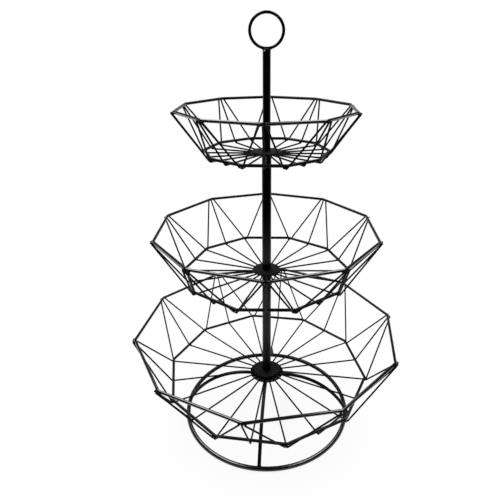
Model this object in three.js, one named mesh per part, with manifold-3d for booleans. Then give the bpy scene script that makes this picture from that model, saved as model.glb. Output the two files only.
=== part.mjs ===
// Tiered fruit basket: three decagonal baskets of bent and welded wire on a screwed post with a ring
// handle, on a ground ring with four legs. Millimetres, +Z up, origin on the ground under the post.
// The front of the stand faces -Y.
import * as THREE from "three";
import { mergeVertices } from "three/addons/utils/BufferGeometryUtils.js";
import Module from "manifold-3d";

// Wire diameters
const RIM_WIRE = 3.2;
const FLOOR_WIRE = 3.2;
const BASKET_WIRE = 1.8;
const LEG_WIRE = 4;
const BASE_WIRE = 5;
const HANDLE_WIRE = 3;

// Baskets: radius of the rim's and the floor ring's corners, height from one to the other, and the
// angle that each basket is turned to on the post
const CORNERS = 10;
const LOWER_RIM_RADIUS = 151.7;
const LOWER_FLOOR_RADIUS = 118.3;
const LOWER_DEPTH = 58.7;
const LOWER_TURN = -8.2;
const MIDDLE_RIM_RADIUS = 122.4;
const MIDDLE_FLOOR_RADIUS = 91.7;
const MIDDLE_DEPTH = 49.2;
const MIDDLE_TURN = -0.4;
const TOP_RIM_RADIUS = 92.8;
const TOP_FLOOR_RADIUS = 64.9;
const TOP_DEPTH = 43.5;
const TOP_TURN = -2;

// Bends of the rings' corners, along the wire's centre line
const RIM_BEND = 6;
const FLOOR_BEND = 5;

// Hub plates and the thin wires
const HUB_RADIUS = 15.5;
const HUB_THICKNESS = 2;
const SPOKE_INNER_RADIUS = 8;
const RIM_SPREAD = 2.7; // from a rim corner to the wires beside it
const FOOT_SPREAD = 2.8; // from a floor corner to the strut's foot
const RIM_LAP = 1.2; // how far the wires run on past the rim's centre line
const FOOT_LAP = 0.8; // how far a strut runs on past the floor ring's centre line

// Post
const POST_DIAMETER = 10;
const POST_WALL = 0.9;
const POST_LENGTH = 133.6;
const PLUG_LENGTH = 14;
const STUD_DIAMETER = 4;
const STUD_ENGAGEMENT = 10;
const HANDLE_DIAMETER = 8;
const HANDLE_LENGTH = 100.8;
const HANDLE_BORE_DEPTH = 14;
const HANDLE_RING_RADIUS = 16.3;

// Base
const BASE_RING_RADIUS = 97.8;
const FLOOR_HEIGHT = 53.4; // from the ground to the lower basket's spokes
const LEGS = 4;
const LEG_TURN = -4.8;
const LEG_FLAT_RADIUS = 22; // the legs run flat to here, then arch down to the ground ring
const FLANGE_RADIUS = 20;
const FLANGE_THICKNESS = 1.5;
const SCREW_HEAD_DIAMETER = 8;
const SCREW_HEAD_HEIGHT = 2.6;

// Fits
const SEAT_GAP = 0.3; // between pieces that touch
const WELD_SINK = 0.4; // depth that the hub plate is pressed into its wires
const BOSS_CLEARANCE = 1; // from the boss's neck to the spokes' ends
const SCREW_CLEARANCE = 2; // from the screw's head to the legs' ends

// Facets
const THIN_SIDES = 6;
const WIRE_SIDES = 8;
const BEND_STEPS = 3;
const ARCH_STEPS = 8;
const ROUND_SIDES = 24;
const GROUND_RING_SIDES = 48;
const HANDLE_RING_SIDES = 32;

const FRONT = -90;
const STEP = 360 / CORNERS;
const HALF_STEP = THREE.MathUtils.degToRad(STEP / 2);

const TIERS = [
  {
    name: "lower",
    rimRadius: LOWER_RIM_RADIUS,
    floorRadius: LOWER_FLOOR_RADIUS,
    depth: LOWER_DEPTH,
    turn: LOWER_TURN,
  },
  {
    name: "middle",
    rimRadius: MIDDLE_RIM_RADIUS,
    floorRadius: MIDDLE_FLOOR_RADIUS,
    depth: MIDDLE_DEPTH,
    turn: MIDDLE_TURN,
  },
  {
    name: "top",
    rimRadius: TOP_RIM_RADIUS,
    floorRadius: TOP_FLOOR_RADIUS,
    depth: TOP_DEPTH,
    turn: TOP_TURN,
  },
];

// Heights in a basket, from the plane of its spokes' centre lines
const hubUnderside = BASKET_WIRE / 2 - WELD_SINK;
const hubTop = hubUnderside + HUB_THICKNESS;
const floorRingHeight = (FLOOR_WIRE + BASKET_WIRE) / 2 + SEAT_GAP;

// Each post section stands on one hub plate and carries the next
const tierPitch = SEAT_GAP + POST_LENGTH + SEAT_GAP + HUB_THICKNESS;
const tierHeight = (tier) => FLOOR_HEIGHT + tier * tierPitch;

const wasm = await Module();
wasm.setup();

const toSolid = (geometry) => {
  const bare = geometry.clone();
  bare.deleteAttribute("normal");
  bare.deleteAttribute("uv");
  const merged = mergeVertices(bare);
  return new wasm.Manifold(
    new wasm.Mesh({
      numProp: 3,
      vertProperties: new Float32Array(merged.attributes.position.array),
      triVerts: new Uint32Array(merged.index.array),
    }),
  );
};

const toGeometry = (solid) => {
  const mesh = solid.getMesh();
  const geometry = new THREE.BufferGeometry();
  geometry.setAttribute("position", new THREE.BufferAttribute(mesh.vertProperties, 3));
  geometry.setIndex(new THREE.BufferAttribute(mesh.triVerts, 1));
  geometry.computeVertexNormals();
  return geometry;
};

const polar = (radius, degrees, height) =>
  new THREE.Vector3(radius, 0, height).applyAxisAngle(
    new THREE.Vector3(0, 0, 1),
    THREE.MathUtils.degToRad(degrees),
  );

// The point that lies past the end of a run, further along it
const past = (start, end, distance) =>
  end.clone().addScaledVector(end.clone().sub(start).normalize(), distance);

// A wire's centre line: straight runs between corners, each corner bent to an arc
class BentWire extends THREE.Curve {
  constructor(corners, bend, closed, bendSteps = BEND_STEPS) {
    super();
    this.bendSteps = bendSteps;
    this.points = [];
    this.tangents = [];
    const count = corners.length;
    corners.forEach((corner, i) => {
      const before = corners[(i + count - 1) % count];
      const after = corners[(i + 1) % count];
      const isStart = !closed && i === 0;
      const isEnd = !closed && i === count - 1;
      if (isStart) this.mark(corner, after.clone().sub(corner).normalize());
      else if (isEnd) this.mark(corner, corner.clone().sub(before).normalize());
      else this.turn(before, corner, after, bend);
    });
    if (closed) this.mark(this.points[0], this.tangents[0]);
    this.spans = this.points.length - 1;
  }

  mark(point, tangent) {
    this.points.push(point);
    this.tangents.push(tangent);
  }

  turn(before, corner, after, bend) {
    const back = before.clone().sub(corner).normalize();
    const ahead = after.clone().sub(corner).normalize();
    const half = back.angleTo(ahead) / 2;
    const start = corner.clone().addScaledVector(back, bend / Math.tan(half));
    const inward = back.clone().add(ahead).normalize();
    const centre = corner.clone().addScaledVector(inward, bend / Math.sin(half));
    const axis = ahead.clone().cross(back).normalize();
    for (let i = 0; i <= this.bendSteps; i++) {
      const angle = ((Math.PI - 2 * half) * i) / this.bendSteps;
      const arm = start.clone().sub(centre).applyAxisAngle(axis, angle);
      const heading = back.clone().negate().applyAxisAngle(axis, angle);
      this.mark(centre.clone().add(arm), heading);
    }
  }

  blend(list, t, target) {
    const place = t * this.spans;
    const first = Math.min(Math.floor(place), this.spans - 1);
    return target.lerpVectors(list[first], list[first + 1], place - first);
  }

  getPoint(t, target = new THREE.Vector3()) {
    return this.blend(this.points, t, target);
  }

  getPointAt(t, target) {
    return this.getPoint(t, target);
  }

  getTangent(t, target = new THREE.Vector3()) {
    return this.blend(this.tangents, t, target).normalize();
  }

  getTangentAt(t, target) {
    return this.getTangent(t, target);
  }
}

const roundSection = (diameter, sides) => {
  const corner = (_, i) => {
    const angle = (2 * Math.PI * i) / sides;
    return new THREE.Vector2(Math.cos(angle), Math.sin(angle)).multiplyScalar(diameter / 2);
  };
  return new THREE.Shape(Array.from({ length: sides }, corner));
};

const openWire = (corners, bend, diameter, sides, bendSteps) => {
  const line = new BentWire(corners, bend, false, bendSteps);
  return new THREE.ExtrudeGeometry(roundSection(diameter, sides), {
    steps: line.spans,
    extrudePath: line,
  });
};

const wireRing = (radius, firstCorner, height, bend, diameter) => {
  const corner = (_, i) => polar(radius, firstCorner + i * STEP, height);
  const line = new BentWire(Array.from({ length: CORNERS }, corner), bend, true);
  return new THREE.TubeGeometry(line, line.spans, diameter / 2, WIRE_SIDES, true);
};

// A turned piece from its profile of radius and height pairs
const turned = (profile, sides = ROUND_SIDES) => {
  const points = profile.map(([radius, height]) => new THREE.Vector2(radius, height));
  return new THREE.LatheGeometry(points, sides).rotateX(Math.PI / 2);
};

const turnedRod = (radius, bottom, top) =>
  turned([
    [0, bottom],
    [radius, bottom],
    [radius, top],
    [0, top],
  ]);

const turnedTube = (bore, radius, bottom, top) =>
  turned([
    [bore, bottom],
    [radius, bottom],
    [radius, top],
    [bore, top],
    [bore, bottom],
  ]);

const blackCoat = () =>
  new THREE.MeshStandardMaterial({ color: 0x101010, roughness: 0.42, metalness: 0.2 });
const zincSteel = () =>
  new THREE.MeshStandardMaterial({ color: 0xb4b6b8, roughness: 0.35, metalness: 0.9 });

const piece = (name, geometry, material = blackCoat()) => {
  const mesh = new THREE.Mesh(geometry, material);
  mesh.name = name;
  return mesh;
};

// Distance from a bent ring's sharp corner to its bent one
const cornerLoss = (bend) => bend * (1 / Math.cos(HALF_STEP) - 1);

// The straight side run of a thin wire, in the plane of radius and height. It touches the floor ring's
// wire and the rim's wire from outside, and meets the plane of the spokes at the knee.
const sideRun = (floorX, rimX, depth) => {
  const floorReach = floorRingHeight;
  const rimReach = (RIM_WIRE + BASKET_WIRE) / 2 + SEAT_GAP;
  const run = rimX - floorX;
  const lean = Math.asin((rimReach - floorReach) / Math.hypot(run, depth));
  const slope = Math.atan2(depth, run) - lean;
  const outX = Math.sin(slope);
  const outZ = -Math.cos(slope);
  const foot = new THREE.Vector3(floorX + floorReach * outX, 0, floorReach * (1 + outZ));
  const head = new THREE.Vector3(
    rimX + rimReach * outX,
    0,
    floorRingHeight + depth + rimReach * outZ,
  );
  const knee = new THREE.Vector3(foot.x - foot.z / Math.tan(slope), 0, 0);
  return { foot, head, knee };
};

// A wire from the hub, flat to the knee and up to the rim
const spokeWire = (knee, head) => {
  const inner = new THREE.Vector3(SPOKE_INNER_RADIUS, 0, 0);
  const kneeBend = (FLOOR_WIRE + BASKET_WIRE) / 2;
  return openWire([inner, knee, past(knee, head, RIM_LAP)], kneeBend, BASKET_WIRE, THIN_SIDES);
};

const strutWire = (foot, head) =>
  openWire([past(head, foot, FOOT_LAP), past(foot, head, RIM_LAP)], 0, BASKET_WIRE, THIN_SIDES);

const makeBasket = (tier, index) => {
  const basket = new THREE.Group();
  basket.position.z = tierHeight(index);
  basket.rotation.z = THREE.MathUtils.degToRad(tier.turn);
  const { name, rimRadius, floorRadius, depth } = tier;

  // Over each floor edge a wire runs from the middle of the edge to the rim corner
  const edgeRun = sideRun(floorRadius * Math.cos(HALF_STEP), rimRadius - cornerLoss(RIM_BEND), depth);
  const edgeWire = spokeWire(edgeRun.knee, edgeRun.head);

  // Over each floor corner a wire and a strut part to the two ends of the rim edge above
  const rimEdgeX = rimRadius * Math.cos(HALF_STEP);
  const cornerRun = sideRun(floorRadius - cornerLoss(FLOOR_BEND), rimEdgeX, depth);
  const aside = rimRadius * Math.sin(HALF_STEP) - RIM_SPREAD;
  const wireHead = cornerRun.head.clone().setY(aside);
  const cornerWire = spokeWire(cornerRun.knee, wireHead);
  const strutFloorX = floorRadius - FOOT_SPREAD * Math.tan(HALF_STEP);
  const strutRun = sideRun(strutFloorX, rimEdgeX, depth);
  const strut = strutWire(strutRun.foot.setY(-FOOT_SPREAD), strutRun.head.setY(-aside));

  const hubBore = STUD_DIAMETER / 2 + SEAT_GAP;
  const frame = [toSolid(turnedTube(hubBore, HUB_RADIUS, hubUnderside, hubTop))];
  for (let i = 0; i < CORNERS; i++) {
    const rimCorner = THREE.MathUtils.degToRad(FRONT + i * STEP);
    const floorCorner = rimCorner + HALF_STEP;
    frame.push(toSolid(edgeWire.clone().rotateZ(rimCorner)));
    frame.push(toSolid(cornerWire.clone().rotateZ(floorCorner)));
    const strutMesh = piece(`${name}_strut_${String(i + 1).padStart(2, "0")}`, strut.clone());
    strutMesh.rotation.z = floorCorner;
    basket.add(strutMesh);
  }
  basket.add(piece(`${name}_spoke_frame`, toGeometry(wasm.Manifold.union(frame))));

  const floorRing = wireRing(
    floorRadius,
    FRONT + STEP / 2,
    floorRingHeight,
    FLOOR_BEND,
    FLOOR_WIRE,
  );
  basket.add(piece(`${name}_floor_ring`, floorRing));
  const rim = wireRing(rimRadius, FRONT, floorRingHeight + depth, RIM_BEND, RIM_WIRE);
  basket.add(piece(`${name}_rim`, rim));
  return basket;
};

// A post tube with a threaded plug in each end
const makePost = (name, index) => {
  const post = new THREE.Group();
  post.position.z = tierHeight(index) + hubTop + SEAT_GAP;
  const tubeBore = POST_DIAMETER / 2 - POST_WALL;
  const plugRadius = tubeBore - SEAT_GAP;
  const plugBore = STUD_DIAMETER / 2 + SEAT_GAP;
  post.add(piece(name, turnedTube(tubeBore, POST_DIAMETER / 2, 0, POST_LENGTH)));
  const footPlug = turnedTube(plugBore, plugRadius, 0, PLUG_LENGTH);
  const headPlug = turnedTube(plugBore, plugRadius, POST_LENGTH - PLUG_LENGTH, POST_LENGTH);
  post.add(piece(`${name}_foot_plug`, footPlug, zincSteel()));
  post.add(piece(`${name}_head_plug`, headPlug, zincSteel()));
  return post;
};

// A stud through a hub plate, into the post sections below and above it
const makeStud = (name, index) => {
  const reach = SEAT_GAP + STUD_ENGAGEMENT;
  const stud = turnedRod(STUD_DIAMETER / 2, hubUnderside - reach, hubTop + reach);
  const mesh = piece(name, stud, zincSteel());
  mesh.position.z = tierHeight(index);
  return mesh;
};

// The handle: a rod with a blind bore, saddled at its top for the ring
const makeHandle = (index) => {
  const handle = new THREE.Group();
  handle.position.z = tierHeight(index) + hubTop + SEAT_GAP;
  const bore = STUD_DIAMETER / 2 + SEAT_GAP;
  const radius = HANDLE_DIAMETER / 2;
  const rod = turned([
    [0, HANDLE_BORE_DEPTH],
    [bore, HANDLE_BORE_DEPTH],
    [bore, 0],
    [radius, 0],
    [radius, HANDLE_LENGTH],
    [0, HANDLE_LENGTH],
  ]);
  const ringOf = (wireRadius) =>
    new THREE.TorusGeometry(HANDLE_RING_RADIUS, wireRadius, WIRE_SIDES, HANDLE_RING_SIDES)
      .rotateX(Math.PI / 2)
      .translate(0, 0, HANDLE_LENGTH + HANDLE_RING_RADIUS);
  const saddle = toSolid(ringOf(HANDLE_WIRE / 2 + SEAT_GAP));
  handle.add(piece("handle_rod", toGeometry(toSolid(rod).subtract(saddle))));
  handle.add(piece("handle_ring", ringOf(HANDLE_WIRE / 2)));
  return handle;
};

// The ground ring has a flat underneath, on which the stand rests
const makeGroundRing = () => {
  const flat = Math.PI / WIRE_SIDES;
  const height = (BASE_WIRE / 2) * Math.cos(flat);
  const corner = (_, i) => {
    const angle = flat + (2 * Math.PI * i) / WIRE_SIDES;
    const across = (BASE_WIRE / 2) * Math.cos(angle);
    return [BASE_RING_RADIUS + across, height + (BASE_WIRE / 2) * Math.sin(angle)];
  };
  const profile = Array.from({ length: WIRE_SIDES + 1 }, corner);
  return { ring: piece("base_ring", turned(profile, GROUND_RING_SIDES)), height };
};

// A leg, flat under the boss and then one arch down to the ground ring. Where the flat run and the
// arch's end run cross, both are as long, so that the arch takes up the whole bend.
const legWire = (legHeight, ringHeight) => {
  const drop = legHeight - ringHeight;
  const landing = BASE_WIRE / 2 + SEAT_GAP;
  const reach = LEG_FLAT_RADIUS - landing;
  const crossing = (BASE_RING_RADIUS ** 2 + drop ** 2 - reach ** 2) / (2 * (BASE_RING_RADIUS - reach));
  const slope = Math.atan2(drop, BASE_RING_RADIUS - crossing);
  const bend = (crossing - LEG_FLAT_RADIUS) / Math.tan(slope / 2);
  const inner = new THREE.Vector3(SCREW_HEAD_DIAMETER / 2 + SCREW_CLEARANCE, 0, legHeight);
  const knee = new THREE.Vector3(crossing, 0, legHeight);
  const ringCentre = new THREE.Vector3(BASE_RING_RADIUS, 0, ringHeight);
  const foot = past(knee, ringCentre, -landing);
  return openWire([inner, knee, foot], bend, LEG_WIRE, WIRE_SIDES, ARCH_STEPS);
};

const makeBase = () => {
  const base = new THREE.Group();
  const { ring, height: ringHeight } = makeGroundRing();
  base.add(ring);

  // The boss: a thin flange under the lower basket's spokes, and a neck up to the lower hub plate
  const bore = STUD_DIAMETER / 2 + SEAT_GAP;
  const neck = SPOKE_INNER_RADIUS - BOSS_CLEARANCE;
  const bossShoulder = FLOOR_HEIGHT - BASKET_WIRE / 2 - SEAT_GAP;
  const bossBottom = bossShoulder - FLANGE_THICKNESS;
  const bossTop = FLOOR_HEIGHT + hubUnderside - SEAT_GAP;
  const boss = turned([
    [bore, bossBottom],
    [FLANGE_RADIUS, bossBottom],
    [FLANGE_RADIUS, bossShoulder],
    [neck, bossShoulder],
    [neck, bossTop],
    [bore, bossTop],
    [bore, bossBottom],
  ]);
  base.add(piece("base_boss", boss));

  const leg = legWire(bossBottom - SEAT_GAP - LEG_WIRE / 2, ringHeight);
  for (let i = 0; i < LEGS; i++) {
    const mesh = piece(`base_leg_${i + 1}`, leg.clone());
    mesh.rotation.z = THREE.MathUtils.degToRad(FRONT + LEG_TURN + (i * 360) / LEGS);
    base.add(mesh);
  }

  const headTop = bossBottom - SEAT_GAP;
  const headBottom = headTop - SCREW_HEAD_HEIGHT;
  const screwTop = FLOOR_HEIGHT + hubTop + SEAT_GAP + STUD_ENGAGEMENT;
  const screw = turned([
    [0, headBottom],
    [SCREW_HEAD_DIAMETER / 2, headBottom],
    [SCREW_HEAD_DIAMETER / 2, headTop],
    [STUD_DIAMETER / 2, headTop],
    [STUD_DIAMETER / 2, screwTop],
    [0, screwTop],
  ]);
  base.add(piece("base_screw", screw, zincSteel()));
  return base;
};

const stand = new THREE.Group();
stand.add(makeBase());
TIERS.forEach((tier, index) => stand.add(makeBasket(tier, index)));
stand.add(makePost("lower_post", 0));
stand.add(makeStud("lower_stud", 1));
stand.add(makePost("middle_post", 1));
stand.add(makeStud("upper_stud", 2));
stand.add(makeHandle(2));

export default stand;
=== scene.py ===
import math
import random

import bmesh
import bpy
from mathutils import Matrix, Vector


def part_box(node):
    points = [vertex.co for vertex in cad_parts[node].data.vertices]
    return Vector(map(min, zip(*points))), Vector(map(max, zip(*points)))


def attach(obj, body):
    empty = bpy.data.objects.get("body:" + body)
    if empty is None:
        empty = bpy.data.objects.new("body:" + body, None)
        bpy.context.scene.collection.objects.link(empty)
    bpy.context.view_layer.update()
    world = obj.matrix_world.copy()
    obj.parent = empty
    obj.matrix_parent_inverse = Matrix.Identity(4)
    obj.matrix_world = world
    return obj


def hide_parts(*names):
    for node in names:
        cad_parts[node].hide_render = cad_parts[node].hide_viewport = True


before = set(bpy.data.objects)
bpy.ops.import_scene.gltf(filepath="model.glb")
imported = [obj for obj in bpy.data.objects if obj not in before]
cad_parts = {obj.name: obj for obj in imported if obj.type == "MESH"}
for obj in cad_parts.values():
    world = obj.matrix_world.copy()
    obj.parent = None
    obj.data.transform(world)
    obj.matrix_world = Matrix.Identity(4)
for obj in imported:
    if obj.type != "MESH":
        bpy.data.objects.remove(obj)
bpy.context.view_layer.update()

MM = 0.001
UP = Vector((0, 0, 1))


# Sizes of the wire and of the baskets, as the solids have them
CORNERS = 10
STEP = 2 * math.pi / CORNERS
HALF_STEP = STEP / 2
FRONT = -math.pi / 2
BASKETS = {
    "lower": {"rim": 151.7 * MM, "floor": 118.3 * MM, "turn": math.radians(-8.2)},
    "middle": {"rim": 122.4 * MM, "floor": 91.7 * MM, "turn": math.radians(-0.4)},
    "top": {"rim": 92.8 * MM, "floor": 64.9 * MM, "turn": math.radians(-2)},
}
BASKET_WIRE = 1.8 * MM
LEG_WIRE = 4 * MM
BASE_WIRE = 5 * MM
RIM_BEND = 6 * MM
FLOOR_BEND = 5 * MM
SEAT_GAP = 0.3 * MM
WELD_SINK = 0.4 * MM
RIM_SPREAD = 2.7 * MM
FOOT_SPREAD = 2.8 * MM
RIM_LAP = 1.2 * MM
FOOT_LAP = 0.8 * MM
HUB_RADIUS = 15.5 * MM
HUB_THICKNESS = 2 * MM
SPOKE_INNER_RADIUS = 8 * MM
STUD_BORE = 2.3 * MM
POST_WALL = 0.9 * MM
HANDLE_BORE_DEPTH = 14 * MM
LEGS = 4
LEG_TURN = math.radians(-4.8)
LEG_FLAT_RADIUS = 22 * MM
LEG_START_RADIUS = 6 * MM
FLANGE_RADIUS = 20 * MM
FLANGE_THICKNESS = 1.5 * MM
BOSS_NECK_RADIUS = 7 * MM
SCREW_RADIUS = 2 * MM

# Sides of the round sections, and steps in the bends
THIN_SIDES = 12
WIRE_SIDES = 20
TURNED_SIDES = 64
BEND_STEPS = 6
ARCH_STEPS = 28
GROUND_RING_STEPS = 144
HANDLE_RING_STEPS = 80
STUB_SIDES = 32

# Faces that meet at up to these angles in degrees are shaded as one
SMOOTH_ANGLE = 38
WELD_SMOOTH_ANGLE = 80

# Rounded edges
WIRE_END_ROUND = 0.2  # of the wire's thickness
TUBE_EDGE = 0.35 * MM
HUB_EDGE = 0.6 * MM
ROD_TOP_EDGE = 1.3 * MM
FLANGE_EDGE = 0.4 * MM
SCREW_HEAD_EDGE = 1.2 * MM

# Half sizes of the weld beads in millimetres: along the seam, across it and away from it
RIM_BEAD = (1.6, 1.4, 0.65)
FLOOR_BEAD = (1.5, 1.4, 0.65)
HUB_BEAD = (1.2, 1.3, 0.55)
CORNER_PUDDLE = (2.1, 1.05, 0.85)
HANDLE_SIDE_BEAD = (1.7, 1.6, 1.3)
HANDLE_SEAM_BEAD = (4.2, 3.4, 2.0)
HANDLE_DRIP = (2.3, 1.4, 0.6)
LEG_FOOT_BEAD = (2.6, 2.3, 1.2)
FLANGE_BEAD = (4.2, 1.3, 0.9)

# Wires and beads are set by hand: the wires a little off their mark, the beads not all alike
hand = random.Random(7)
HAND_ANGLE = math.radians(0.12)
BEAD_UNEVENNESS = 0.1


def middle_height(node):
    low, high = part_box(node)
    return (low.z + high.z) / 2


def height_of(node):
    low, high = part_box(node)
    return high.z - low.z


RIM_WIRE = height_of("lower_rim")
FLOOR_WIRE = height_of("lower_floor_ring")


def polar(radius, angle, height):
    return Vector((radius * math.cos(angle), radius * math.sin(angle), height))


# Working at the bench


def lay_tools_down():
    if bpy.context.mode != "OBJECT":
        bpy.ops.object.mode_set(mode="OBJECT")
    bpy.ops.object.select_all(action="DESELECT")


def take_up(piece):
    lay_tools_down()
    piece.select_set(True)
    bpy.context.view_layer.objects.active = piece
    bpy.ops.object.mode_set(mode="EDIT")


def pick_faces(piece, wanted):
    bpy.ops.mesh.select_mode(type="FACE")
    bpy.ops.mesh.select_all(action="DESELECT")
    mesh = bmesh.from_edit_mesh(piece.data)
    for face in mesh.faces:
        if wanted(face):
            face.select_set(True)
    mesh.select_flush_mode()
    bmesh.update_edit_mesh(piece.data)


def pick_edges(piece, wanted):
    bpy.ops.mesh.select_mode(type="EDGE")
    bpy.ops.mesh.select_all(action="DESELECT")
    mesh = bmesh.from_edit_mesh(piece.data)
    for edge in mesh.edges:
        if wanted(edge):
            edge.select_set(True)
    bmesh.update_edit_mesh(piece.data)


def put_in_place(piece):
    bpy.ops.object.transform_apply(location=True, rotation=True, scale=True)
    return piece


def finish_faces(piece, smooth_angle=SMOOTH_ANGLE):
    take_up(piece)
    bpy.ops.mesh.select_all(action="SELECT")
    bpy.ops.mesh.normals_make_consistent(inside=False)
    lay_tools_down()
    piece.select_set(True)
    bpy.context.view_layer.objects.active = piece
    bpy.ops.object.shade_smooth_by_angle(angle=math.radians(smooth_angle))
    return piece


def copy_of(model, place):
    copy = model.copy()
    copy.data = model.data.copy()
    bpy.context.collection.objects.link(copy)
    copy.data.transform(place)
    return copy


def throw_away(piece):
    bpy.data.objects.remove(piece)


def join_as(name, pieces):
    lay_tools_down()
    for piece in pieces:
        piece.select_set(True)
    bpy.context.view_layer.objects.active = pieces[0]
    bpy.ops.object.join()
    pieces[0].name = name
    pieces[0].data.name = name
    return pieces[0]


# Wire work


def cut_wire(name, start, heading, thickness, sides):
    lay_tools_down()
    bpy.ops.mesh.primitive_circle_add(
        vertices=sides,
        radius=thickness / 2,
        fill_type="NGON",
        location=start,
        rotation=heading.to_track_quat("Z", "Y").to_euler(),
    )
    wire = put_in_place(bpy.context.object)
    wire.name = name
    wire.data.name = name
    take_up(wire)
    bpy.ops.mesh.select_mode(type="FACE")
    bpy.ops.mesh.select_all(action="SELECT")
    return wire


def push(distance):
    bpy.ops.mesh.extrude_region_move(TRANSFORM_OT_translate={"value": distance})


def bend(centre, axis, angle, steps):
    bpy.ops.mesh.spin(steps=steps, angle=-angle, center=centre, axis=axis)


def lay_wire(name, points, bend_radius, thickness, sides, steps=BEND_STEPS):
    place = points[0]
    heading = (points[1] - points[0]).normalized()
    wire = cut_wire(name, place, heading, thickness, sides)
    for corner, after in zip(points[1:-1], points[2:]):
        ahead = (after - corner).normalized()
        turn = heading.angle(ahead)
        start = corner - heading * bend_radius * math.tan(turn / 2)
        axis = heading.cross(ahead).normalized()
        push(start - place)
        bend(start + axis.cross(heading) * bend_radius, axis, turn, steps)
        place = corner + ahead * bend_radius * math.tan(turn / 2)
        heading = ahead
    push(points[-1] - place)
    return wire


def is_wire_end(sides):
    return lambda face: len(face.verts) == sides


def round_ends(wire, thickness, sides):
    pick_faces(wire, is_wire_end(sides))
    bpy.ops.mesh.region_to_loop()
    bpy.ops.mesh.bevel(offset=thickness * WIRE_END_ROUND, segments=3, affect="EDGES")
    return finish_faces(wire)


def close_ring(wire, thickness, sides):
    pick_faces(wire, is_wire_end(sides))
    bpy.ops.mesh.delete(type="ONLY_FACE")
    bpy.ops.mesh.select_all(action="SELECT")
    bpy.ops.mesh.remove_doubles(threshold=thickness / 60)
    return finish_faces(wire)


def bend_ten_corner_ring(name, radius, first_corner, height, bend_radius, thickness):
    corners = [polar(radius, first_corner + i * STEP, height) for i in range(CORNERS)]
    start = (corners[-1] + corners[0]) / 2
    ring = lay_wire(name, [start, *corners, start], bend_radius, thickness, WIRE_SIDES)
    return close_ring(ring, thickness, WIRE_SIDES)


def bend_round_ring(name, start, heading, centre, axis, thickness, steps):
    ring = cut_wire(name, start, heading, thickness, WIRE_SIDES)
    bend(centre, axis, 2 * math.pi, steps)
    return close_ring(ring, thickness, WIRE_SIDES)


def side_run(floor_x, rim_x, rim_height, floor_height):
    """The straight run of a thin wire up a basket's side, in the plane of radius and height above
    the spokes: its places beside the floor ring and the rim, the knee, and the direction away from
    the rings."""
    floor_reach = floor_height
    rim_reach = (RIM_WIRE + BASKET_WIRE) / 2 + SEAT_GAP
    run = rim_x - floor_x
    depth = rim_height - floor_height
    slope = math.atan2(depth, run) - math.asin((rim_reach - floor_reach) / math.hypot(run, depth))
    out = Vector((math.sin(slope), 0, -math.cos(slope)))
    foot = Vector((floor_x, 0, floor_height)) + out * floor_reach
    head = Vector((rim_x, 0, rim_height)) + out * rim_reach
    knee = Vector((foot.x - foot.z / math.tan(slope), 0, 0))
    return foot, head, knee, out


def past(start, end, distance):
    return end + (end - start).normalized() * distance


# Welds


def make_weld_bead():
    """A small round-backed bead, one millimetre from its middle to each end."""
    lay_tools_down()
    bpy.ops.mesh.primitive_uv_sphere_add(segments=10, ring_count=6, radius=MM)
    bead = put_in_place(bpy.context.object)
    take_up(bead)
    flattening = 0.12 * MM
    pick_faces(bead, lambda face: face.normal.z > 0.5)
    bpy.ops.transform.translate(value=(0, 0, -flattening))
    return finish_faces(bead, WELD_SMOOTH_ANGLE)


weld_bead = make_weld_bead()


def set_bead(place, along, away, size):
    """A bead at a place, with its length along the seam and its back away from the seam."""
    across = away.cross(along).normalized()
    turned = Matrix((along.normalized(), across, away.normalized())).transposed().to_4x4()
    low, high = 1 - BEAD_UNEVENNESS, 1 + BEAD_UNEVENNESS
    uneven = [part * hand.uniform(low, high) for part in size]
    stretch = Matrix.Diagonal((*uneven, 1))
    return copy_of(weld_bead, Matrix.Translation(place) @ turned @ stretch)


# Baskets


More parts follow.
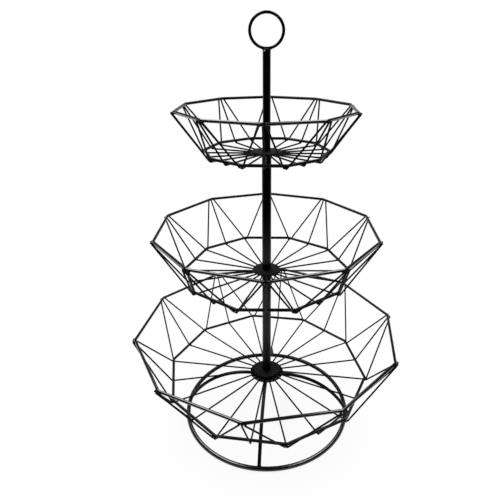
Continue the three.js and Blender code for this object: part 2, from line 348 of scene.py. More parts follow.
def make_basket(name, rim_radius, floor_radius, turn):
    body = f"{name}_basket"
    ring_height = middle_height(f"{name}_floor_ring")
    spoke_plane = ring_height - (FLOOR_WIRE + BASKET_WIRE) / 2 - SEAT_GAP
    floor_height = ring_height - spoke_plane
    rim_height = middle_height(f"{name}_rim") - spoke_plane
    corner_loss = 1 / math.cos(HALF_STEP) - 1
    lift = Matrix.Translation(UP * spoke_plane)

    rim = bend_ten_corner_ring(
        f"{name}_rim_wire", rim_radius, FRONT + turn, rim_height + spoke_plane, RIM_BEND, RIM_WIRE
    )
    floor_ring = bend_ten_corner_ring(
        f"{name}_floor_wire",
        floor_radius,
        FRONT + turn + HALF_STEP,
        ring_height,
        FLOOR_BEND,
        FLOOR_WIRE,
    )

    edge_floor_x = floor_radius * math.cos(HALF_STEP)
    corner_floor_x = floor_radius - FLOOR_BEND * corner_loss
    strut_floor_x = floor_radius - FOOT_SPREAD * math.tan(HALF_STEP)
    corner_rim_x = rim_radius - RIM_BEND * corner_loss
    edge_rim_x = rim_radius * math.cos(HALF_STEP)
    aside = Vector((0, rim_radius * math.sin(HALF_STEP) - RIM_SPREAD, 0))
    strut_aside = Vector((0, -FOOT_SPREAD, 0))
    inner = Vector((SPOKE_INNER_RADIUS, 0, 0))
    knee_bend = (FLOOR_WIRE + BASKET_WIRE) / 2

    def spoke(knee, head):
        points = [inner, knee, past(knee, head, RIM_LAP)]
        wire = lay_wire("spoke", points, knee_bend, BASKET_WIRE, THIN_SIDES)
        return round_ends(wire, BASKET_WIRE, THIN_SIDES)

    _, head, knee, edge_out = side_run(edge_floor_x, corner_rim_x, rim_height, floor_height)
    edge_spoke = spoke(knee, head)
    _, head, knee, corner_out = side_run(corner_floor_x, edge_rim_x, rim_height, floor_height)
    corner_spoke = spoke(knee, head + aside)
    foot, head, _, strut_out = side_run(strut_floor_x, edge_rim_x, rim_height, floor_height)
    low_end = past(head - aside, foot + strut_aside, FOOT_LAP)
    high_end = past(foot + strut_aside, head - aside, RIM_LAP)
    strut = lay_wire("strut", [low_end, high_end], 0, BASKET_WIRE, THIN_SIDES)
    round_ends(strut, BASKET_WIRE, THIN_SIDES)

    rim_seam = RIM_WIRE / 2 + SEAT_GAP / 2
    floor_seam = FLOOR_WIRE / 2 + SEAT_GAP / 2
    across = Vector((0, 1, 0))
    below = (corner_out - UP).normalized()
    bend_side = Vector((corner_floor_x, 0, floor_height)) + below * floor_height
    at_hub = Vector((HUB_RADIUS, 0, BASKET_WIRE / 2 - WELD_SINK))
    outward = Vector((1, 0, 0))
    beads_at_edge = [
        (Vector((corner_rim_x, 0, rim_height)) + edge_out * rim_seam, across, edge_out, RIM_BEAD),
        (Vector((edge_floor_x, 0, floor_height - floor_seam)), across, -UP, FLOOR_BEAD),
        (at_hub, outward, -UP, HUB_BEAD),
    ]
    beads_at_corner = [
        (
            Vector((edge_rim_x, 0, rim_height)) + aside + corner_out * rim_seam,
            across,
            corner_out,
            RIM_BEAD,
        ),
        (
            Vector((edge_rim_x, 0, rim_height)) - aside + strut_out * rim_seam,
            across,
            strut_out,
            RIM_BEAD,
        ),
        (Vector((corner_floor_x, 0, floor_height - floor_seam)), across, -UP, FLOOR_BEAD),
        (
            Vector((strut_floor_x, 0, floor_height)) + strut_aside + strut_out * floor_seam,
            across,
            strut_out,
            FLOOR_BEAD,
        ),
        ((low_end + bend_side) / 2, bend_side - low_end, below, CORNER_PUDDLE),
        (at_hub, outward, -UP, HUB_BEAD),
    ]

    def turned(angle):
        return lift @ Matrix.Rotation(angle + hand.uniform(-HAND_ANGLE, HAND_ANGLE), 4, "Z")

    def beads(places, at):
        way = at.to_3x3()
        return [set_bead(at @ p, way @ along, way @ away, size) for p, along, away, size in places]

    spokes, struts, welds = [], [], []
    for i in range(CORNERS):
        at_rim_corner = turned(FRONT + turn + i * STEP)
        at_floor_corner = turned(FRONT + turn + i * STEP + HALF_STEP)
        spokes.append(copy_of(edge_spoke, at_rim_corner))
        spokes.append(copy_of(corner_spoke, at_floor_corner))
        struts.append(copy_of(strut, at_floor_corner))
        welds += beads(beads_at_edge, at_rim_corner)
        welds += beads(beads_at_corner, at_floor_corner)
    for model in (edge_spoke, corner_spoke, strut):
        throw_away(model)

    spokes = join_as(f"{name}_spokes", spokes)
    welds = join_as(f"{name}_welds", welds)
    for i, piece in enumerate(struts):
        piece.name = f"{name}_strut_wire_{i + 1:02d}"
        piece.data.name = piece.name
        settle(piece, body, dull_black, f"{name}_strut_{i + 1:02d}")

    hub_low = spoke_plane + BASKET_WIRE / 2 - WELD_SINK
    settle(rim, body, glossy_black, f"{name}_rim")
    settle(floor_ring, body, satin_black, f"{name}_floor_ring")
    settle(spokes, body, dull_black, f"{name}_spoke_frame")
    settle(welds, body, satin_black)
    hub_disc = press_hub_disc(f"{name}_hub_disc", hub_low, hub_low + HUB_THICKNESS)
    settle(hub_disc, body, dull_black)


def turn_cylinder(name, radius, low, high, sides=TURNED_SIDES):
    lay_tools_down()
    bpy.ops.mesh.primitive_cylinder_add(
        vertices=sides,
        radius=radius,
        depth=high - low,
        end_fill_type="NGON",
        location=(0, 0, (low + high) / 2),
    )
    piece = put_in_place(bpy.context.object)
    piece.name = name
    piece.data.name = name
    take_up(piece)
    return piece


def is_end_face(face):
    """The round ends are the only faces of turned work with this many corners."""
    return len(face.verts) > 8


def is_top_face(face):
    return is_end_face(face) and face.normal.z > 0.5


def is_bottom_face(face):
    return is_end_face(face) and face.normal.z < -0.5


def is_end_edge(edge):
    return any(is_end_face(face) for face in edge.link_faces)


def drill_through(piece, radius, bore):
    pick_faces(piece, is_end_face)
    bpy.ops.mesh.inset(thickness=radius - bore, use_boundary=True)
    bpy.ops.mesh.bridge_edge_loops()


def press_hub_disc(name, low, high):
    disc = turn_cylinder(name, HUB_RADIUS, low, high)
    pick_edges(disc, is_end_edge)
    bpy.ops.mesh.bevel(offset=HUB_EDGE, segments=4, affect="EDGES")
    drill_through(disc, HUB_RADIUS - HUB_EDGE, STUD_BORE)
    return finish_faces(disc)


# Post, handle and base


def draw_post_tube(node, name):
    low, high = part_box(node)
    radius = (high.x - low.x) / 2
    tube = turn_cylinder(name, radius, low.z, high.z)
    pick_edges(tube, is_end_edge)
    bpy.ops.mesh.bevel(offset=TUBE_EDGE, segments=3, affect="EDGES")
    drill_through(tube, radius - TUBE_EDGE, radius - POST_WALL)
    return finish_faces(tube)


def turn_handle_rod(name):
    low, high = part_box("handle_rod")
    ring_low, ring_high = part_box("handle_ring")
    ring_wire = ring_high.y - ring_low.y
    radius = (high.y - low.y) / 2
    into_weld = ring_wire * 0.1
    rod = turn_cylinder(name, radius, low.z, ring_low.z + into_weld)
    pick_edges(rod, lambda edge: is_end_edge(edge) and edge.verts[0].co.z > low.z + MM)
    bpy.ops.mesh.bevel(offset=ROD_TOP_EDGE, segments=5, affect="EDGES")
    pick_edges(rod, lambda edge: is_end_edge(edge) and edge.verts[0].co.z < low.z + MM)
    bpy.ops.mesh.bevel(offset=TUBE_EDGE, segments=3, affect="EDGES")
    pick_faces(rod, is_bottom_face)
    bpy.ops.mesh.inset(thickness=radius - TUBE_EDGE - STUD_BORE)
    push(UP * HANDLE_BORE_DEPTH)
    return finish_faces(rod)


def bend_handle_ring(name):
    low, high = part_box("handle_ring")
    wire = high.y - low.y
    centre = (low + high) / 2
    start = Vector((centre.x, centre.y, low.z + wire / 2))
    heading = Vector((1, 0, 0))
    axis = Vector((0, -1, 0))
    return bend_round_ring(name, start, heading, centre, axis, wire, HANDLE_RING_STEPS)


def weld_handle_ring(name):
    """The fillet between the rod's top and the ring, run on by hand and smoothed."""
    ring_low, ring_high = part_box("handle_ring")
    wire = ring_high.y - ring_low.y
    middle = (ring_low.z + ring_high.z) / 2
    ring_radius = middle - ring_low.z - wire / 2
    low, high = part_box("handle_rod")
    radius = (high.y - low.y) / 2
    seam = Vector((0, 0, ring_low.z + wire / 2))
    stub_low, stub_high = seam.z - 3.2 * MM, seam.z - 0.6 * MM
    skin, taper = 0.1 * MM, 0.88
    stub = turn_cylinder("stub", radius + skin, stub_low, stub_high, STUB_SIDES)
    pick_faces(stub, is_bottom_face)
    bpy.ops.transform.resize(value=(taper, taper, 1))
    parts = [finish_faces(stub)]
    ring_middle = Vector((0, 0, middle))
    reach = radius * 0.92
    side_drop, seam_drop = 0.8 * MM, 1.4 * MM
    for side in (-1, 1):
        angle = side * reach / ring_radius
        along = Vector((math.cos(angle), 0, math.sin(angle)))
        down = Vector((math.sin(angle), 0, -math.cos(angle)))
        place = ring_middle + down * (ring_radius + side_drop)
        parts.append(set_bead(place, along, down, HANDLE_SIDE_BEAD))
    parts.append(set_bead(seam - UP * seam_drop, Vector((1, 0, 0)), -UP, HANDLE_SEAM_BEAD))
    weld = join_as(name, parts)
    lay_tools_down()
    weld.select_set(True)
    bpy.context.view_layer.objects.active = weld
    remesh = weld.modifiers.new("run together", "REMESH")
    remesh.mode = "VOXEL"
    remesh.voxel_size = 0.25 * MM
    bpy.ops.object.modifier_apply(modifier=remesh.name)
    smooth = weld.modifiers.new("smooth", "SMOOTH")
    smooth.factor = 0.5
    smooth.iterations = 14
    bpy.ops.object.modifier_apply(modifier=smooth.name)
    return finish_faces(weld, WELD_SMOOTH_ANGLE)


def drip_weld(name):
    """A drip of weld that runs from under the ring down the left of the rod's front."""
    ring_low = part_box("handle_ring")[0]
    middle = Vector((-2.1 * MM, -3.25 * MM, ring_low.z - 0.3 * MM))
    down_rod = Vector((0.19, -0.82, -0.54))
    away = Vector((-0.4, -0.57, 0.72))
    drip = set_bead(middle, down_rod, away, HANDLE_DRIP)
    drip.name = name
    drip.data.name = name
    return drip


def bend_ground_ring(name):
    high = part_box("base_ring")[1]
    radius = high.x - BASE_WIRE / 2
    height = high.z / 2
    start = Vector((radius, 0, height))
    ring = bend_round_ring(
        name, start, Vector((0, 1, 0)), Vector((0, 0, height)), UP, BASE_WIRE, GROUND_RING_STEPS
    )
    take_up(ring)
    bpy.ops.mesh.select_all(action="SELECT")
    bpy.ops.mesh.bisect(plane_co=(0, 0, 0), plane_no=(0, 0, 1), clear_inner=True, use_fill=True)
    return finish_faces(ring), radius, height


def bend_legs(ring_radius, ring_height):
    flange_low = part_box("base_boss")[0].z
    leg_height = flange_low - LEG_WIRE / 2
    drop = leg_height - ring_height
    landing = BASE_WIRE / 2
    reach = LEG_FLAT_RADIUS - landing
    crossing = (ring_radius**2 + drop**2 - reach**2) / (2 * (ring_radius - reach))
    slope = math.atan2(drop, ring_radius - crossing)
    arch = (crossing - LEG_FLAT_RADIUS) / math.tan(slope / 2)
    inner = Vector((LEG_START_RADIUS, 0, leg_height))
    knee = Vector((crossing, 0, leg_height))
    ring_middle = Vector((ring_radius, 0, ring_height))
    down = (ring_middle - knee).normalized()
    foot = ring_middle - down * landing
    leg = lay_wire("leg", [inner, knee, foot], arch, LEG_WIRE, WIRE_SIDES, ARCH_STEPS)
    finish_faces(leg)
    across = Vector((0, 1, 0))
    outward = Vector((1, 0, 0))
    beside_leg = LEG_WIRE * 0.32
    under_flange = Vector((FLANGE_RADIUS - 4 * MM, 0, flange_low))
    welds = []
    for i in range(LEGS):
        at = Matrix.Rotation(FRONT + LEG_TURN + i * 2 * math.pi / LEGS, 4, "Z")
        way = at.to_3x3()
        piece = copy_of(leg, at)
        piece.name = f"leg_{i + 1}"
        piece.data.name = piece.name
        settle(piece, "stand", satin_black, f"base_leg_{i + 1}")
        welds.append(set_bead(at @ foot, way @ across, way @ down, LEG_FOOT_BEAD))
        for side in (-1, 1):
            seam = under_flange + across * side * beside_leg
            welds.append(set_bead(at @ seam, way @ outward, way @ -UP, FLANGE_BEAD))
    throw_away(leg)
    settle(join_as("leg_welds", welds), "stand", satin_black)


def turn_boss(name):
    low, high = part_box("base_boss")
    shoulder = low.z + FLANGE_THICKNESS
    boss = turn_cylinder(name, FLANGE_RADIUS, low.z, shoulder)
    pick_edges(boss, is_end_edge)
    bpy.ops.mesh.bevel(offset=FLANGE_EDGE, segments=3, affect="EDGES")
    pick_faces(boss, is_top_face)
    bpy.ops.mesh.inset(thickness=FLANGE_RADIUS - FLANGE_EDGE - BOSS_NECK_RADIUS)
    push(UP * (high.z - shoulder))
    pick_faces(boss, is_top_face)
    bpy.ops.mesh.inset(thickness=BOSS_NECK_RADIUS - STUD_BORE)
    pick_faces(boss, is_bottom_face)
    bpy.ops.mesh.inset(thickness=FLANGE_RADIUS - FLANGE_EDGE - STUD_BORE)
    pick_faces(boss, is_end_face)
    bpy.ops.mesh.bridge_edge_loops()
    return finish_faces(boss)


def turn_screw(name):
    low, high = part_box("base_screw")
    radius = (high.x - low.x) / 2
    head_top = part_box("base_boss")[0].z - SEAT_GAP
    screw = turn_cylinder(name, radius, low.z, head_top)
    pick_edges(screw, lambda edge: is_end_edge(edge) and edge.verts[0].co.z < low.z + 0.1 * MM)
    bpy.ops.mesh.bevel(offset=SCREW_HEAD_EDGE, segments=6, affect="EDGES")
    pick_faces(screw, is_top_face)
    bpy.ops.mesh.inset(thickness=radius - SCREW_RADIUS)
    push(UP * (high.z - head_top))
    finish_faces(screw)
    slot_size = (4.4, 0.9, 2.8)
    slots = []
    for turn in (math.pi / 4, math.pi * 3 / 4):
        lay_tools_down()
        bpy.ops.mesh.primitive_cube_add(size=MM, location=(0, 0, low.z))
        slot = bpy.context.object
        slot.scale = slot_size
        slot.rotation_euler.z = turn
        slots.append(put_in_place(slot))
    for cutter in slots:
        lay_tools_down()
        screw.select_set(True)
        bpy.context.view_layer.objects.active = screw
        cut = screw.modifiers.new("cross", "BOOLEAN")
        cut.operation = "DIFFERENCE"
        cut.object = cutter
        bpy.ops.object.modifier_apply(modifier=cut.name)
        throw_away(cutter)
    return finish_faces(screw)


# Finishes

# Powder coat: its blacks, the grain of its skin in bumps per metre, and the depth of the bumps
BLACK = (0.0016, 0.0016, 0.0017, 1)
WORN_BLACK = (0.003, 0.003, 0.0032, 1)
PEEL_SCALE = 850
GRIT_SCALE = 4200
GRIT_SHARE = 0.22
DRIFT_SCALE = 24
COAT_BUMP = 0.12
COAT_BUMP_DEPTH = 0.1 * MM

# Where in the drift of the skin the wear and the gloss begin and end
WEAR_RANGE = (0.42, 0.72)
GLOSS_RANGE = (0.3, 0.7)

# How far a face has to turn outwards for the outer gloss to begin and to be full
OUTER_GLOSS_RANGE = (-0.35, 0.15)

# Zinc plate
ZINC_DARK = (0.42, 0.43, 0.44, 1)
ZINC_PALE = (0.62, 0.63, 0.64, 1)
ZINC_ROUGHNESS = (0.24, 0.42)
SPANGLE_SCALE = 700
ZINC_BUMP = 0.1
ZINC_BUMP_DEPTH = 0.05 * MM


def new_finish(name):
    finish = bpy.data.materials.new(name)
    finish.use_nodes = True
    tree = finish.node_tree
    shader = tree.nodes["Principled BSDF"]
    return finish, tree, shader


def add(tree, kind, place, **settings):
    node = tree.nodes.new(kind)
    node.location = place
    for key, value in settings.items():
        setattr(node, key, value)
    return node


def coat_skin_group():
    """Powder coat: orange peel, fine grit, and slow drift of shade and gloss."""
    group = bpy.data.node_groups.new("coat skin", "ShaderNodeTree")
    face = group.interface
    face.new_socket("Colour", in_out="INPUT", socket_type="NodeSocketColor")
    face.new_socket("Worn Colour", in_out="INPUT", socket_type="NodeSocketColor")
    face.new_socket("Peel Scale", in_out="INPUT", socket_type="NodeSocketFloat")
    face.new_socket("Gloss Low", in_out="INPUT", socket_type="NodeSocketFloat")
    face.new_socket("Gloss High", in_out="INPUT", socket_type="NodeSocketFloat")
    face.new_socket("Colour", in_out="OUTPUT", socket_type="NodeSocketColor")
    face.new_socket("Roughness", in_out="OUTPUT", socket_type="NodeSocketFloat")
    face.new_socket("Height", in_out="OUTPUT", socket_type="NodeSocketFloat")
    enter = add(group, "NodeGroupInput", (-900, 0))
    leave = add(group, "NodeGroupOutput", (700, 0))
    place = add(group, "ShaderNodeTexCoord", (-900, -300))
    peel = add(group, "ShaderNodeTexNoise", (-600, -300))
    peel.inputs["Detail"].default_value = 2
    grit = add(group, "ShaderNodeTexNoise", (-600, -560))
    grit.inputs["Scale"].default_value = GRIT_SCALE
    grit.inputs["Detail"].default_value = 1
    drift = add(group, "ShaderNodeTexNoise", (-600, 260))
    drift.inputs["Scale"].default_value = DRIFT_SCALE
    drift.inputs["Detail"].default_value = 4
    shade = add(group, "ShaderNodeMapRange", (-300, 300))
    shade.inputs["From Min"].default_value = WEAR_RANGE[0]
    shade.inputs["From Max"].default_value = WEAR_RANGE[1]
    tint = add(group, "ShaderNodeMix", (0, 300), data_type="RGBA")
    gloss = add(group, "ShaderNodeMapRange", (-300, 0))
    gloss.inputs["From Min"].default_value = GLOSS_RANGE[0]
    gloss.inputs["From Max"].default_value = GLOSS_RANGE[1]
    sum_height = add(group, "ShaderNodeMath", (0, -400), operation="MULTIPLY_ADD")
    sum_height.inputs[1].default_value = GRIT_SHARE
    links = group.links
    for texture in (peel, grit, drift):
        links.new(place.outputs["Object"], texture.inputs["Vector"])
    links.new(enter.outputs["Peel Scale"], peel.inputs["Scale"])
    links.new(drift.outputs["Fac"], shade.inputs["Value"])
    links.new(shade.outputs["Result"], tint.inputs["Factor"])
    links.new(enter.outputs["Colour"], tint.inputs["A"])
    links.new(enter.outputs["Worn Colour"], tint.inputs["B"])
    links.new(drift.outputs["Fac"], gloss.inputs["Value"])
    links.new(enter.outputs["Gloss Low"], gloss.inputs["To Min"])
    links.new(enter.outputs["Gloss High"], gloss.inputs["To Max"])
    links.new(grit.outputs["Fac"], sum_height.inputs[0])
    links.new(peel.outputs["Fac"], sum_height.inputs[2])
    links.new(tint.outputs["Result"], leave.inputs["Colour"])
    links.new(gloss.outputs["Result"], leave.inputs["Roughness"])
    links.new(sum_height.outputs["Value"], leave.inputs["Height"])
    return group


coat_skin = coat_skin_group()


def black_coat_finish(name, gloss_low, gloss_high, shine):
    finish, tree, shader = new_finish(name)
    skin = add(tree, "ShaderNodeGroup", (-500, 200), node_tree=coat_skin)
    skin.inputs["Colour"].default_value = BLACK
    skin.inputs["Worn Colour"].default_value = WORN_BLACK
    skin.inputs["Peel Scale"].default_value = PEEL_SCALE
    skin.inputs["Gloss Low"].default_value = gloss_low
    skin.inputs["Gloss High"].default_value = gloss_high
    bump = add(tree, "ShaderNodeBump", (-250, -200))
    bump.inputs["Strength"].default_value = COAT_BUMP
    bump.inputs["Distance"].default_value = COAT_BUMP_DEPTH
    tree.links.new(skin.outputs["Colour"], shader.inputs["Base Color"])
    tree.links.new(skin.outputs["Roughness"], shader.inputs["Roughness"])
    tree.links.new(skin.outputs["Height"], bump.inputs["Height"])
    tree.links.new(bump.outputs["Normal"], shader.inputs["Normal"])
    shader.inputs["Specular IOR Level"].default_value = shine
    return finish


def gloss_outside(finish, coat_roughness, coat_ior):
    """The coat is sprayed from outside, so a ring is glossier on its outer side than inside."""
    tree = finish.node_tree
    shader = tree.nodes["Principled BSDF"]
    place = add(tree, "ShaderNodeTexCoord", (-1100, -500))
    flat = add(tree, "ShaderNodeVectorMath", (-900, -500), operation="MULTIPLY")
    flat.inputs[1].default_value = (1, 1, 0)
    outward = add(tree, "ShaderNodeVectorMath", (-700, -500), operation="NORMALIZE")
    facing = add(tree, "ShaderNodeVectorMath", (-500, -500), operation="DOT_PRODUCT")
    weight = add(tree, "ShaderNodeMapRange", (-300, -500), interpolation_type="SMOOTHSTEP")
    weight.inputs["From Min"].default_value = OUTER_GLOSS_RANGE[0]
    weight.inputs["From Max"].default_value = OUTER_GLOSS_RANGE[1]
    tree.links.new(place.outputs["Object"], flat.inputs[0])
    tree.links.new(flat.outputs["Vector"], outward.inputs[0])
    tree.links.new(outward.outputs["Vector"], facing.inputs[0])
    tree.links.new(place.outputs["Normal"], facing.inputs[1])
    tree.links.new(facing.outputs["Value"], weight.inputs["Value"])
    tree.links.new(weight.outputs["Result"], shader.inputs["Coat Weight"])
    shader.inputs["Coat Roughness"].default_value = coat_roughness
    shader.inputs["Coat IOR"].default_value = coat_ior
    return finish


glossy_black = gloss_outside(black_coat_finish("glossy_black_coat", 0.2, 0.3, 0.25), 0.12, 1.68)
satin_black = black_coat_finish("satin_black_coat", 0.26, 0.34, 0.25)
dull_black = black_coat_finish("dull_black_coat", 0.5, 0.62, 0.12)


def zinc_finish(name):
    finish, tree, shader = new_finish(name)
    place = add(tree, "ShaderNodeTexCoord", (-900, 0))
    spangle = add(tree, "ShaderNodeTexNoise", (-650, 150))
    spangle.inputs["Scale"].default_value = SPANGLE_SCALE
    spangle.inputs["Detail"].default_value = 4
    colour = add(tree, "ShaderNodeMix", (-300, 200), data_type="RGBA")
    colour.inputs["A"].default_value = ZINC_DARK
    colour.inputs["B"].default_value = ZINC_PALE
    gloss = add(tree, "ShaderNodeMapRange", (-300, -50))
    gloss.inputs["To Min"].default_value = ZINC_ROUGHNESS[0]
    gloss.inputs["To Max"].default_value = ZINC_ROUGHNESS[1]
    bump = add(tree, "ShaderNodeBump", (-300, -300))
    bump.inputs["Strength"].default_value = ZINC_BUMP
    bump.inputs["Distance"].default_value = ZINC_BUMP_DEPTH
    tree.links.new(place.outputs["Object"], spangle.inputs["Vector"])
    tree.links.new(spangle.outputs["Fac"], colour.inputs["Factor"])
    tree.links.new(spangle.outputs["Fac"], gloss.inputs["Value"])
    tree.links.new(spangle.outputs["Fac"], bump.inputs["Height"])
    tree.links.new(colour.outputs["Result"], shader.inputs["Base Color"])
    tree.links.new(gloss.outputs["Result"], shader.inputs["Roughness"])
    tree.links.new(bump.outputs["Normal"], shader.inputs["Normal"])
    shader.inputs["Metallic"].default_value = 1
    return finish


zinc = zinc_finish("zinc_plate")


def settle(piece, body, finish, *nodes):
    piece.data.materials.clear()
    piece.data.materials.append(finish)
    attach(piece, body)
    if nodes:
        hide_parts(*nodes)


# The stand, put together

for basket_name, sizes in BASKETS.items():
    make_basket(basket_name, sizes["rim"], sizes["floor"], sizes["turn"])

settle(draw_post_tube("lower_post", "lower_tube"), "stand", satin_black, "lower_post")
settle(draw_post_tube("middle_post", "middle_tube"), "stand", satin_black, "middle_post")
settle(turn_handle_rod("handle_stem"), "stand", satin_black, "handle_rod")
settle(bend_handle_ring("handle_loop"), "stand", satin_black, "handle_ring")
settle(weld_handle_ring("handle_weld"), "stand", dull_black)
settle(drip_weld("handle_weld_drip"), "stand", glossy_black)
ground_ring, ground_ring_radius, ground_ring_height = bend_ground_ring("ground_ring")
settle(ground_ring, "stand", glossy_black, "base_ring")
bend_legs(ground_ring_radius, ground_ring_height)
settle(turn_boss("boss"), "stand", satin_black, "base_boss")
settle(turn_screw("screw"), "stand", zinc, "base_screw")
throw_away(weld_bead)

for inside in (
    "lower_post_foot_plug",
    "lower_post_head_plug",
    "lower_stud",
    "middle_post_foot_plug",
    "middle_post_head_plug",
    "upper_stud",
):
    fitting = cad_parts[inside]
    fitting.data.materials.clear()
    fitting.data.materials.append(zinc)


# Studio

# The floor: its radius, how far out it keeps the stand's shadow, where the shadow begins to run
# out, and how much plain white is mixed into it before that
FLOOR_RADIUS = 0.37
SHADE_REACH = 0.16
SHADE_START = 0.1
SHADE_WHITE = 0.9

# A painted shadow on the floor under the stand, which only mirrored rays find: where it begins to
# run out, and how much of the floor's white it keeps at its middle
PAINTED_SHADOW_START = 0.06
PAINTED_SHADOW_WHITE = 0.2

# Even fill light, the brightness of the dark room that the coat mirrors, and where the white cloth
# behind the stand begins and is full: by how far back a ray points and by how far up
FILL = 0.15
DARK_ROOM = 0.03
CLOTH_BACK = (0.1, 0.5)
CLOTH_UP = (0.3, 0.08)

# Two lamps hang side by side, with a dark gap between them
LAMP_BACK = 0.4
LAMP_HEIGHT = 1.45
LAMP_LENGTH = 1.9
LAMP_TURN = 7

# The camera's lens and centre, in pixels of a square picture
PICTURE = 500
FOCAL_LENGTH = 480.67
CENTRE_X = 266.65
CENTRE_Y = 205.9
SENSOR_WIDTH = 36
CAMERA_PLACE = (0, -0.4888, 0.44222)
CAMERA_TILT = 19.66


def background_rays(tree):
    """One for the rays that see the background as it is, straight, mirrored or through glass, and
    one for the straight rays alone."""
    rays = add(tree, "ShaderNodeLightPath", (-1200, 300))
    mirrored = add(tree, "ShaderNodeMath", (-1000, 300), operation="MAXIMUM")
    seen = add(tree, "ShaderNodeMath", (-800, 300), operation="MAXIMUM")
    tree.links.new(rays.outputs["Is Glossy Ray"], mirrored.inputs[0])
    tree.links.new(rays.outputs["Is Transmission Ray"], mirrored.inputs[1])
    tree.links.new(rays.outputs["Is Camera Ray"], seen.inputs[0])
    tree.links.new(mirrored.outputs["Value"], seen.inputs[1])
    return seen.outputs["Value"], rays.outputs["Is Camera Ray"]


def ramp(tree, value, place, low, high, at_low, at_high):
    step = add(tree, "ShaderNodeMapRange", place, interpolation_type="SMOOTHSTEP")
    step.inputs["From Min"].default_value = low
    step.inputs["From Max"].default_value = high
    step.inputs["To Min"].default_value = at_low
    step.inputs["To Max"].default_value = at_high
    tree.links.new(value, step.inputs["Value"])
    return step.outputs["Result"]


def combine(tree, operation, first, second, place):
    node = add(tree, "ShaderNodeMath", place, operation=operation)
    tree.links.new(first, node.inputs[0])
    tree.links.new(second, node.inputs[1])
    return node.outputs["Value"]


def lay_floor():
    """A pale floor that keeps the stand's shadow and runs out into white. It can be seen through
    from below, and mirrored rays find a painted shadow under the stand, where its white is turned
    down."""
    lay_tools_down()
    bpy.ops.mesh.primitive_circle_add(vertices=96, radius=FLOOR_RADIUS, fill_type="NGON")
    floor = bpy.context.object
    floor.name = "studio_floor"
    finish, tree, shader = new_finish("pale_floor")
    tree.nodes.remove(shader)
    seen, straight = background_rays(tree)
    place = add(tree, "ShaderNodeTexCoord", (-1200, 0))
    distance = add(tree, "ShaderNodeVectorMath", (-1000, 0), operation="LENGTH")
    matt = add(tree, "ShaderNodeBsdfDiffuse", (-300, -100))
    matt.inputs["Color"].default_value = (0.9, 0.9, 0.9, 1)
    white = add(tree, "ShaderNodeEmission", (-300, -300))
    mix = add(tree, "ShaderNodeMixShader", (-50, 0))
    tree.links.new(place.outputs["Object"], distance.inputs[0])
    far = distance.outputs["Value"]
    run_out = ramp(tree, far, (-800, 0), SHADE_START, SHADE_REACH, SHADE_WHITE, 1)
    # Painted shadow: the white that mirrored rays find is turned down under the stand
    under = ramp(tree, far, (-800, -300), PAINTED_SHADOW_START, SHADE_REACH, PAINTED_SHADOW_WHITE, 1)
    share = combine(tree, "MULTIPLY", run_out, seen, (-500, 100))
    strength = combine(tree, "MAXIMUM", under, straight, (-500, -300))
    tree.links.new(share, mix.inputs["Fac"])
    tree.links.new(strength, white.inputs["Strength"])
    tree.links.new(matt.outputs["BSDF"], mix.inputs[1])
    tree.links.new(white.outputs["Emission"], mix.inputs[2])
    side = add(tree, "ShaderNodeNewGeometry", (-50, 250))
    clear = add(tree, "ShaderNodeBsdfTransparent", (-50, -200))
    from_below = add(tree, "ShaderNodeMixShader", (150, 0))
    tree.links.new(side.outputs["Backfacing"], from_below.inputs["Fac"])
    tree.links.new(mix.outputs["Shader"], from_below.inputs[1])
    tree.links.new(clear.outputs["BSDF"], from_below.inputs[2])
    tree.links.new(from_below.outputs["Shader"], tree.nodes["Material Output"].inputs["Surface"])
    floor.data.materials.append(finish)


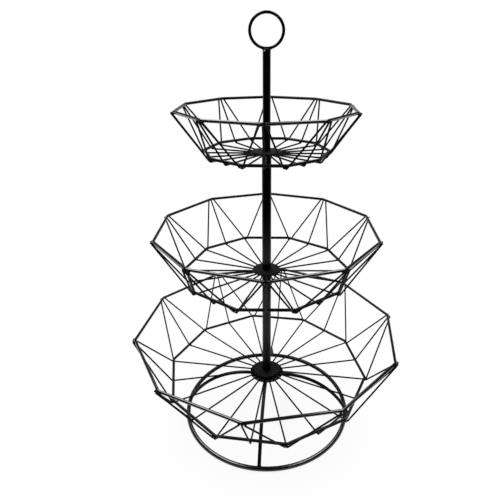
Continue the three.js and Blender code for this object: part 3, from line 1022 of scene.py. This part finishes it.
def hang_backdrop():
    """White low down behind the stand, a dark room all round it for mirrored rays, and even fill
    light. Straight rays find white everywhere."""
    world = bpy.data.worlds.new("studio")
    world.use_nodes = True
    bpy.context.scene.world = world
    tree = world.node_tree
    tree.nodes.clear()
    seen, straight = background_rays(tree)
    way = add(tree, "ShaderNodeTexCoord", (-1200, 0))
    parts = add(tree, "ShaderNodeSeparateXYZ", (-1000, 0))
    tree.links.new(way.outputs["Generated"], parts.inputs["Vector"])
    begins, full = CLOTH_BACK
    behind = ramp(tree, parts.outputs["Y"], (-800, 0), begins, full, 0, 1)
    begins, full = CLOTH_UP
    low = ramp(tree, parts.outputs["Z"], (-800, -250), full, begins, 1, 0)
    cloth = combine(tree, "MULTIPLY", behind, low, (-600, -100))
    cloth_or_room = ramp(tree, cloth, (-450, -100), 0, 1, DARK_ROOM, 1)
    strength = combine(tree, "MAXIMUM", cloth_or_room, straight, (-300, -100))
    white = add(tree, "ShaderNodeBackground", (-100, -100))
    tree.links.new(strength, white.inputs["Strength"])
    white.inputs["Color"].default_value = (1, 1, 1, 1)
    light = add(tree, "ShaderNodeBackground", (-100, 100))
    light.inputs["Color"].default_value = (1, 1, 1, 1)
    light.inputs["Strength"].default_value = FILL
    mix = add(tree, "ShaderNodeMixShader", (100, 0))
    out = add(tree, "ShaderNodeOutputWorld", (300, 0))
    tree.links.new(seen, mix.inputs["Fac"])
    tree.links.new(light.outputs["Background"], mix.inputs[1])
    tree.links.new(white.outputs["Background"], mix.inputs[2])
    tree.links.new(mix.outputs["Shader"], out.inputs["Surface"])


def hang_softbox(name, aside, turn, width, watts):
    """A flat lamp that faces the floor, turned in its own plane."""
    lamp = bpy.data.lights.new(name, "AREA")
    lamp.shape = "RECTANGLE"
    lamp.size = width
    lamp.size_y = LAMP_LENGTH
    lamp.energy = watts
    holder = bpy.data.objects.new(name, lamp)
    holder.location = (aside, LAMP_BACK, LAMP_HEIGHT)
    holder.rotation_euler = (0, 0, math.radians(turn))
    bpy.context.scene.collection.objects.link(holder)


lay_floor()
hang_backdrop()
hang_softbox("left_bank", -0.58, -LAMP_TURN, 0.6, 20)
hang_softbox("right_bank", 0.52, LAMP_TURN, 0.42, 14)

camera = bpy.data.objects.new("camera", bpy.data.cameras.new("camera"))
camera.location = CAMERA_PLACE
camera.rotation_euler = (math.radians(90 - CAMERA_TILT), 0, 0)
camera.data.sensor_width = SENSOR_WIDTH
camera.data.lens = SENSOR_WIDTH * FOCAL_LENGTH / PICTURE
camera.data.shift_x = (PICTURE / 2 - CENTRE_X) / PICTURE
camera.data.shift_y = (CENTRE_Y - PICTURE / 2) / PICTURE
camera.data.clip_start = 0.01
bpy.context.scene.collection.objects.link(camera)
bpy.context.scene.camera = camera
bpy.context.scene.view_settings.view_transform = "Standard"
